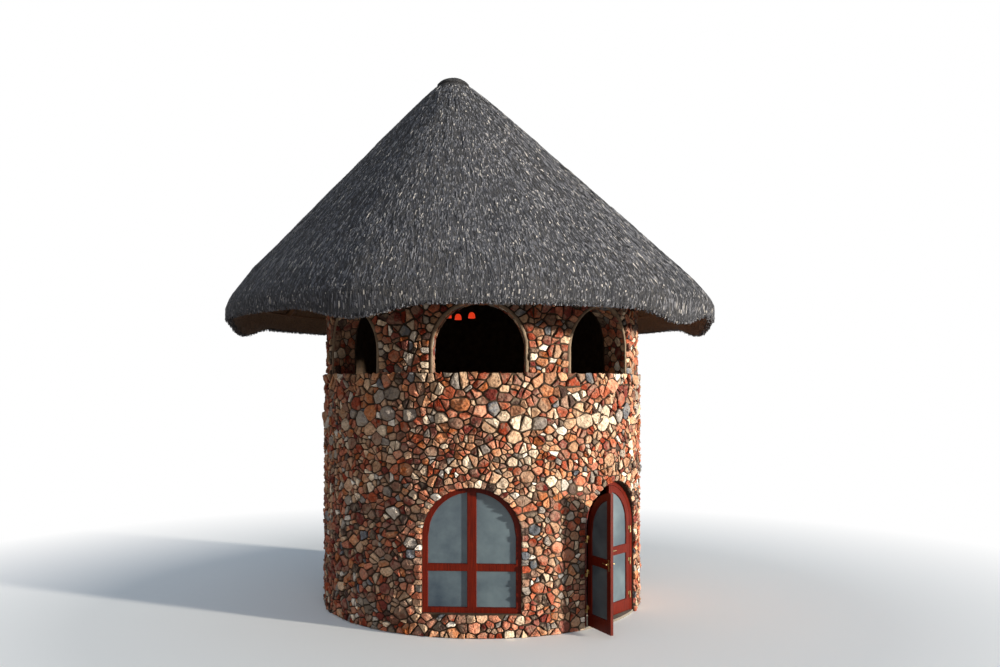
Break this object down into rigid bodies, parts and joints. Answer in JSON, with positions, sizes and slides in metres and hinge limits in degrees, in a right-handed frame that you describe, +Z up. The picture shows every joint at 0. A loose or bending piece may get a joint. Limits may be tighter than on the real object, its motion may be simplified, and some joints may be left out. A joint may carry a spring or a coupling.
{
  "type": "rondavel hut",
  "caption": "Round rubble-stone hut with a tall conical thatched roof, open arches upstairs, and an arched window and arched double door below.",
  "frame": {"origin": "on the axis of the round wall at ground level, on the floor's underside", "axes": "+Z up; -Y towards the side with the front window; the double door is to its right, 51 degrees round towards +X"},
  "size_m": [8.38, 8.38, 9.14],
  "materials": {
    "rubble_stone": "rough rubble laid in mortar, rust, tan and grey",
    "concrete": "smooth cement",
    "pole_wood": "peeled poles",
    "thatch": "weathered grey reed",
    "stained_wood": "red-brown varnish",
    "frosted_glass": "pale frosted",
    "fittings": "worn brass",
    "dark_iron": "matt black",
    "lamp_glass": "red shade"
  },
  "bodies": {
    "hut": {"ground_floor": "concrete", "door_threshold": "concrete", "window_breasts": "rubble_stone", "pier_1": "rubble_stone", "pier_2": "rubble_stone", "pier_3": "rubble_stone", "pier_4": "rubble_stone", "pier_5": "rubble_stone", "pier_6": "rubble_stone", "storey_wall_1": "rubble_stone", "storey_wall_2": "rubble_stone", "storey_wall_3": "rubble_stone", "storey_wall_4": "rubble_stone", "storey_wall_5": "rubble_stone", "storey_wall_6": "rubble_stone", "upper_floor": "concrete", "sill_course": "rubble_stone", "upper_piers": "rubble_stone", "upper_wall_1": "rubble_stone", "upper_wall_2": "rubble_stone", "upper_wall_3": "rubble_stone", "upper_wall_4": "rubble_stone", "upper_wall_5": "rubble_stone", "wall_plate": "pole_wood", "main_rafters": "pole_wood", "short_rafters": "pole_wood", "header_poles": "pole_wood", "king_block": "pole_wood", "thatch": "thatch", "thatch_cap": "thatch", "window_frames": "stained_wood", "window_glass": "frosted_glass", "door_frame": "stained_wood", "door_frame_hinges": "fittings", "hanging_lamp": "dark_iron", "lamp_shades": "lamp_glass"},
    "left_door_leaf": {"left_leaf": "stained_wood", "left_leaf_glass": "frosted_glass", "left_leaf_hinges": "fittings", "left_leaf_handle": "fittings"},
    "right_door_leaf": {"right_leaf": "stained_wood", "right_leaf_glass": "frosted_glass", "right_leaf_hinges": "fittings", "right_leaf_handle": "fittings"}
  },
  "joints": [
    {"name": "left_leaf_hinge", "type": "hinge", "parent": "hut", "child": "left_door_leaf", "pos_m": [1.60683, -2.13495, 0.85], "axis": [0, 0, 1], "range_deg": [-3, 117]},
    {"name": "right_leaf_hinge", "type": "hinge", "parent": "hut", "child": "right_door_leaf", "pos_m": [2.43019, -1.1109, 0.85], "axis": [0, 0, 1], "range_deg": [0, 120]}
  ]
}
